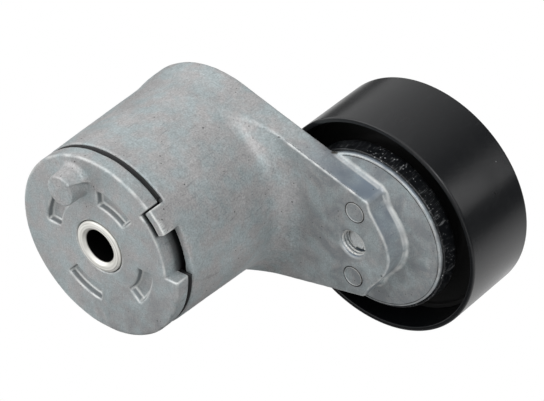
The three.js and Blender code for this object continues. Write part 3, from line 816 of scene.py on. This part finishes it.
def makeTurned():
    rimInner = pulleyRadius - rimWall
    flangeInner, flangeRoot, flange = rimInner - 1.3, rimInner - 1.6, 1.2
    webFront, webBack = pulleyMiddle - webHalf, pulleyMiddle + webHalf
    sleeveOut, sleeveIn = 8.3, 5.3
    front, back = sleeveLow[1], sleeveHigh[1]
    # Name, body, slot, material, centre, segments, replaced node, corners.
    pieces = [
        ("pulleyRim", "pulley", "black_rim", gloss, pulleyX, 192, "pulley_rim", [
            (rimInner, pulleyFront, 0.5), (pulleyRadius, pulleyFront, 0.6), (pulleyRadius, pulleyBack, 0.6),
            (rimInner, pulleyBack, 0.5)]),
        ("pulleyWeb", "pulley", "black_rim", primer, pulleyX, 128, "pulley_web", [
            (rimInner, webFront - flange, 0.2), (rimInner, webBack + flange, 0.2),
            (flangeInner, webBack + flange, 0.3), (flangeRoot, webBack, 1.2), (gripOuter, webBack, 2.2),
            (gripOuter, bearingBack, 0.4), (gripInner, bearingBack, 0.3), (gripInner, bearingFront, 0.3),
            (gripOuter, bearingFront, 0.4), (gripOuter, webFront, 2.2), (flangeRoot, webFront, 1.2),
            (flangeInner, webFront - flange, 0.3)]),
        ("pivotSleeve", "base", "bright_steel", sleeveSteel, 0, 96, "pivot_sleeve", [
            (sleeveIn, front + 0.9, 0.15), (sleeveIn + 0.9, front, 0.2), (7.4, front, 0.15),
            (8.25, front + 0.45, 0.15), (sleeveOut, 2.0, 0), (sleeveOut, 5.0, 0), (8.0, 5.0, 0),
            (8.0, back, 0.3), (sleeveIn + 0.7, back, 0.2), (sleeveIn, back - 0.7, 0.2)]),
        ("dustShield", "arm", "black_shield", scuffed, pulleyX, 160, "dust_shield", [
            (25.4, 55.4, 0.15), (26.0, 55.4, 0.25), (26.5, 59.9, 0.5), (25.9, 60.6, 0.4), (12.3, 60.6, 0.2),
            (12.3, 59.5, 0.2), (25.4, 59.5, 0.3)]),
        ("bearingInnerRing", "arm", "bright_steel", bearingSteel, pulleyX, 96, "bearing_inner_ring",
         [(8.5, bearingBack, 0.5), (8.5, bearingFront, 0.5), (11.9, bearingFront, 0.3)]
         + grooveCorners(11.9, -1) + [(11.9, bearingBack, 0.3)]),
        ("bearingOuterRing", "pulley", "bright_steel", bearingSteel, pulleyX, 96, "bearing_outer_ring",
         [(20, bearingFront, 0.5), (20, bearingBack, 0.5), (16.6, bearingBack, 0.3)]
         + grooveCorners(16.6, 1)[::-1] + [(16.6, bearingFront, 0.3)]),
        ("dustCap", "arm", "black_plastic", blackNylon, pulleyX, 96, "dust_cap", [
            (0, 82.5, 0), (12.1, 82.5, 0.5), (12.1, 76.3, 0.1), (13.3, 76.3, 0.25), (13.3, 82.7, 0.9),
            (10.5, 83.6, 0.8), (9.5, 83.2, 0.5), (0, 83.2, 0)]),
        ("retainingCollar", "base", "bright_steel", collarSteel, 0, 96, "retaining_collar", [
            (8.3, 55.2, 0.2), (17.5, 55.2, 0.3), (17.5, 57.4, 0.5), (8.3, 57.4, 0.4)]),
        ("rearWasher", "base", "pale_plastic", paleNylon, 0, 96, "rear_washer", [
            (8.3, 53.8, 0.1), (16.5, 53.8, 0.2), (16.5, 54.9, 0.2), (8.3, 54.9, 0.1)]),
        ("boltWasher", "arm", "bright_steel", zincSteel, pulleyX, 96, "bolt_washer", [
            (4.2, 76.3, 0.1), (11.8, 76.3, 0.2), (11.8, 77.3, 0.3), (4.2, 77.3, 0.1)]),
        ("bearingSpacer", "arm", "bright_steel", bearingSteel, pulleyX, 96, "bearing_spacer", [
            (4.2, bearingFront, 0.1), (8.2, bearingFront, 0.3), (8.2, bearingBack, 0.3),
            (4.2, bearingBack, 0.1)]),
        ("pivotBushing", "arm", "pale_plastic", paleNylon, 0, 96, "pivot_bushing", [
            (8.3, 20.5, 0.2), (9.7, 20.5, 0.2), (9.7, 53.2, 0.2), (8.3, 53.2, 0.2)]),
        ("damperRing", "base", "black_plastic", blackNylon, 0, 96, "damper_ring", [
            (25.4, 11, 0.2), (26.7, 11, 0.2), (26.7, 19, 0.2), (25.4, 19, 0.2)]),
    ]
    for name, node, place in (("FrontBearingSeal", "front_bearing_seal", bearingFront + 0.5),
                              ("RearBearingSeal", "rear_bearing_seal", bearingBack - 1.2)):
        pieces.append((name, "pulley", "black_rubber", rubber, pulleyX, 96, node, [
            (12.2, place, 0.2), (13.0, place, 0.1), (13.3, place + 0.2, 0.1), (15.4, place + 0.2, 0.1),
            (15.7, place, 0.1), (16.3, place, 0.2), (16.3, place + 0.7, 0.2), (12.2, place + 0.7, 0.2)]))
    for name, body, slot, material, centreX, segments, node, corners in pieces:
        addPiece(name, turnedMesh(name, corners, centreX, segments), body, material, [node])


def makeLugDetails():
    # Ejector pin marks on the lug, the machined line round the disc and the bolt's end in the thread.
    face, disc = arm["face"], arm["back"]
    # The dark ring is painted shade and the bright ring painted highlight, standing in for the light on each
    # mark's tiny ridge.
    for side, where in ((-1, "Lower"), (1, "Upper")):
        for kind, metal in (("shadeRing", darkLineMetal), ("edge", machinedAndHighlightMetal)):
            name = "ejector" + kind.title()
            radius, half = ejector[kind], ejector[kind + "Half"]
            ridge = [(radius - half, face + ejector["buried"], 0), (radius, face - ejector["proud"], 0),
                     (radius + half, face + ejector["buried"], 0)]
            centreX, centreZ = pulleyX + ejector["shift"], side * ejector["side"]
            mesh = turnedMesh(name, ridge, centreX, 64, centreZ=centreZ)
            addPiece(name + where, mesh, "arm", metal, [])
    line = [(24.2, disc + 0.1, 0), (24.35, disc - 0.13, 0), (24.5, disc + 0.1, 0)]
    addPiece("discLine", turnedMesh("discLine", line, pulleyX, 192), "arm", darkLineMetal, [])
    tip = [(0, 49.5, 0), (2.6, 49.5, 0.1), (3.0, 49.35, 0.1), (3.85, 50.2, 0.1), (3.85, 51, 0), (0, 51, 0)]
    addPiece("boltTip", turnedMesh("boltTip", tip, pulleyX, 64), "arm", machinedAndHighlightMetal, [])


def makeSeal():
    # A ring with a lip in the gap between base and drum, open where the stop notch is.
    corners = [(25.4, 5.25, 0.1), (28.9, 5.25, 0.15), (28.7, 5.7, 0.05), (29.35, 6.05, 0.1),
               (29.35, 6.4, 0.1), (25.4, 6.4, 0.1)]
    fromAngle, span = base["notchTo"] + 1, 361.3 - base["notchTo"]
    mesh = turnedMesh("sealRing", corners, 0, 160, fromAngle, span)
    addPiece("sealRing", mesh, "base", rubber, ["seal_ring"])


makeTurned()
makeLugDetails()
makeSeal()
print("turned pieces made")


# ---- pieces that follow a rule, made by geometry nodes

def grownMesh(name, build, settings, material):
    # Builds a node tree with named inputs, sets them, and returns the plain mesh it makes.
    tree = bpy.data.node_groups.new(name, "GeometryNodeTree")
    tree.interface.new_socket("Geometry", in_out="OUTPUT", socket_type="NodeSocketGeometry")
    sockets = {}
    for key, value in settings.items():
        kind = "NodeSocketInt" if isinstance(value, int) else "NodeSocketFloat"
        sockets[key] = tree.interface.new_socket(key, in_out="INPUT", socket_type=kind).identifier
    ask = addNode(tree, "NodeGroupInput").outputs
    made = build(tree, ask)
    real = addNode(tree, "GeometryNodeRealizeInstances", {0: made})
    smooth = addNode(tree, "GeometryNodeSetShadeSmooth", {0: real.outputs[0]})
    coated = addNode(tree, "GeometryNodeSetMaterial", {0: smooth.outputs[0], "Material": material})
    addNode(tree, "NodeGroupOutput", {0: coated.outputs[0]})
    carrier = bpy.data.objects.new(name, bpy.data.meshes.new(name))
    bpy.context.scene.collection.objects.link(carrier)
    grow = carrier.modifiers.new("grow", "NODES")
    grow.node_group = tree
    for key, value in settings.items():
        grow[sockets[key]] = value if isinstance(value, int) else float(value)
    mesh = applied(carrier)
    mesh.name = name
    return mesh


def laid(tree, shape, x, y, turn):
    place = addNode(tree, "ShaderNodeCombineXYZ", {"X": x, "Y": y}).outputs[0]
    return addNode(tree, "GeometryNodeTransform", {0: shape, "Translation": place,
                                                   "Rotation": (turn, 0, 0)}).outputs[0]


def coil(tree, ask):
    # A wire wound about Y: a spiral swept with a round section.
    spiral = addNode(tree, "GeometryNodeCurveSpiral", {
        "Resolution": 48, "Rotations": ask["Turns"], "Start Radius": ask["Radius"],
        "End Radius": ask["Radius"], "Height": ask["Height"]}).outputs[0]
    section = addNode(tree, "GeometryNodeCurvePrimitiveCircle",
                      {"Resolution": ask["Sides"], "Radius": ask["Wire"]}).outputs[0]
    wire = addNode(tree, "GeometryNodeCurveToMesh", {0: spiral, 1: section, "Fill Caps": True}).outputs[0]
    return laid(tree, wire, ask["CentreX"], ask["Start"], -math.pi / 2)


def ballSet(tree, ask):
    # One ball on each point of a circle about Y.
    ring = addNode(tree, "GeometryNodeMeshCircle",
                   {"Vertices": ask["Count"], "Radius": ask["Pitch"]}).outputs[0]
    ball = addNode(tree, "GeometryNodeMeshIcoSphere", {"Radius": ask["Ball"], "Subdivisions": 4}).outputs[0]
    dotted = addNode(tree, "GeometryNodeInstanceOnPoints", {"Points": ring, "Instance": ball}).outputs[0]
    return laid(tree, dotted, ask["CentreX"], ask["Middle"], math.pi / 2)


spring = {"Turns": 5.25, "Radius": 18.2 * mm, "Height": 38.1 * mm, "Wire": 2.4 * mm, "Start": 8.2 * mm,
          "CentreX": 0.0, "Sides": 20}
thread = {"Turns": 2.7, "Radius": 4.3 * mm, "Height": 3.2 * mm, "Wire": 0.5 * mm, "Start": 47.0 * mm,
          "CentreX": pulleyX * mm, "Sides": 4}
balls = {"Count": 9, "Pitch": pitchRadius * mm, "Ball": ballRadius * mm, "CentreX": pulleyX * mm,
         "Middle": pulleyMiddle * mm}
ballNodes = [f"bearing_ball_{i + 1}" for i in range(balls["Count"])]
for name, build, settings, body, slot, material, nodes in (
        ("torsionSpring", coil, spring, "base", "spring_steel", springWire, ["torsion_spring"]),
        ("lugThread", coil, thread, "arm", "cast_aluminium", machinedAndHighlightMetal, []),
        ("bearingBalls", ballSet, balls, "rollers", "bright_steel", bearingSteel, ballNodes)):
    addPiece(name, grownMesh(name, build, settings, material), body, material, nodes)
print("spring, thread and balls made")


# ---- finishing

for node, material in (("bearing_cage", paleNylon), ("pulley_bolt", zincSteel)):
    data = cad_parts[node].data
    data.materials.clear()
    data.materials.append(material)
